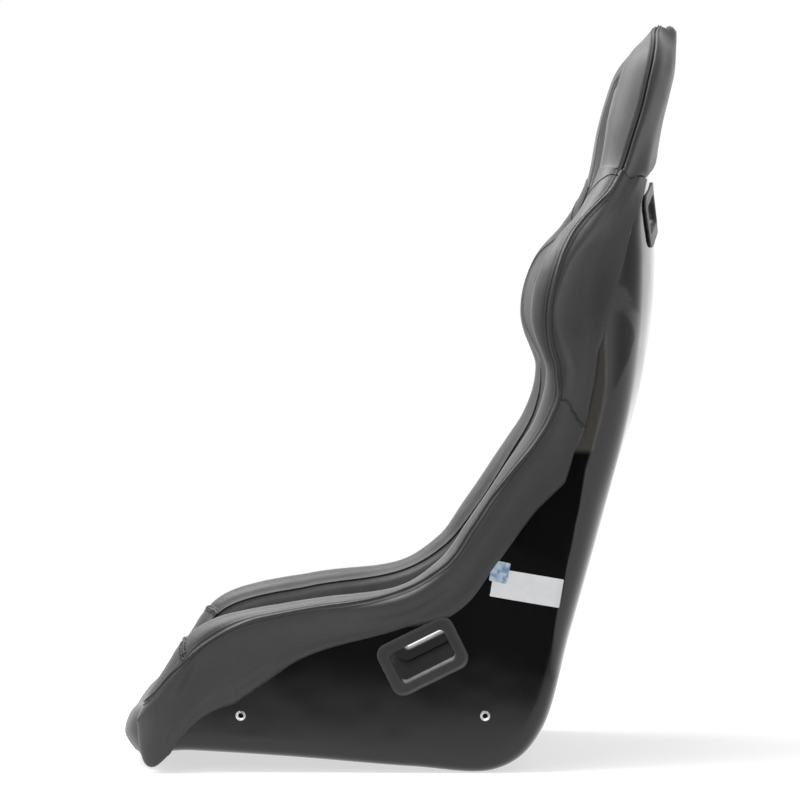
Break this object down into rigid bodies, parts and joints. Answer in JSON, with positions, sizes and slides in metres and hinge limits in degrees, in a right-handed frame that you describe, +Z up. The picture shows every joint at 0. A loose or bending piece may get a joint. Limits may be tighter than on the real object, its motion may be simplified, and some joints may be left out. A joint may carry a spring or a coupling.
{
  "type": "racing seat",
  "caption": "Fixed-back competition bucket seat: gloss moulded shell with padded bolsters wrapped over its rim, head wings, belt slots and threaded side mounts.",
  "frame": {"origin": "on the floor plane under the middle of the seat's length and width", "axes": "+Z up, the seat faces -Y, +X is the sitter's left"},
  "size_m": [0.517, 0.6749, 0.8972],
  "materials": {
    "gelcoat": "gloss black gel coat over glass fibre",
    "cover_vinyl": "matte charcoal grained vinyl, double-stitched",
    "pad_vinyl": "matte charcoal grained vinyl",
    "bezel_plastic": "satin black moulded plastic",
    "plate_steel": "black painted steel strip",
    "bush_steel": "bright zinc plate",
    "strip_pile": "black hook-and-loop pile"
  },
  "bodies": {
    "seat": {"shell": "gelcoat", "mount_plate_left": "plate_steel", "mount_plate_right": "plate_steel", "mount_bushes": "bush_steel", "lap_bezel_outer_left": "bezel_plastic", "lap_bezel_outer_right": "bezel_plastic", "lap_bezel_inner_left": "bezel_plastic", "lap_bezel_inner_right": "bezel_plastic", "shoulder_bezel_rear_left": "bezel_plastic", "shoulder_bezel_rear_right": "bezel_plastic", "shoulder_bezel_front_left": "bezel_plastic", "shoulder_bezel_front_right": "bezel_plastic", "crotch_bezel_bottom": "bezel_plastic", "crotch_bezel_top": "bezel_plastic", "thigh_bolster_left": "cover_vinyl", "thigh_bolster_right": "cover_vinyl", "nose_cover_left": "cover_vinyl", "nose_cover_right": "cover_vinyl", "wing_bolster_left": "cover_vinyl", "wing_bolster_right": "cover_vinyl", "head_cover": "cover_vinyl", "headrest_pad": "pad_vinyl", "back_pad": "pad_vinyl", "lumbar_pad": "pad_vinyl", "front_apron": "cover_vinyl", "loop_strips": "strip_pile"},
    "cushion": {"seat_cushion": "pad_vinyl", "hook_strips": "strip_pile"}
  },
  "joints": [
    {"name": "seat_cushion_lift", "type": "slide", "parent": "seat", "child": "cushion", "axis": [0, -0.2, 0.9798], "range_m": [0, 0.15]}
  ]
}
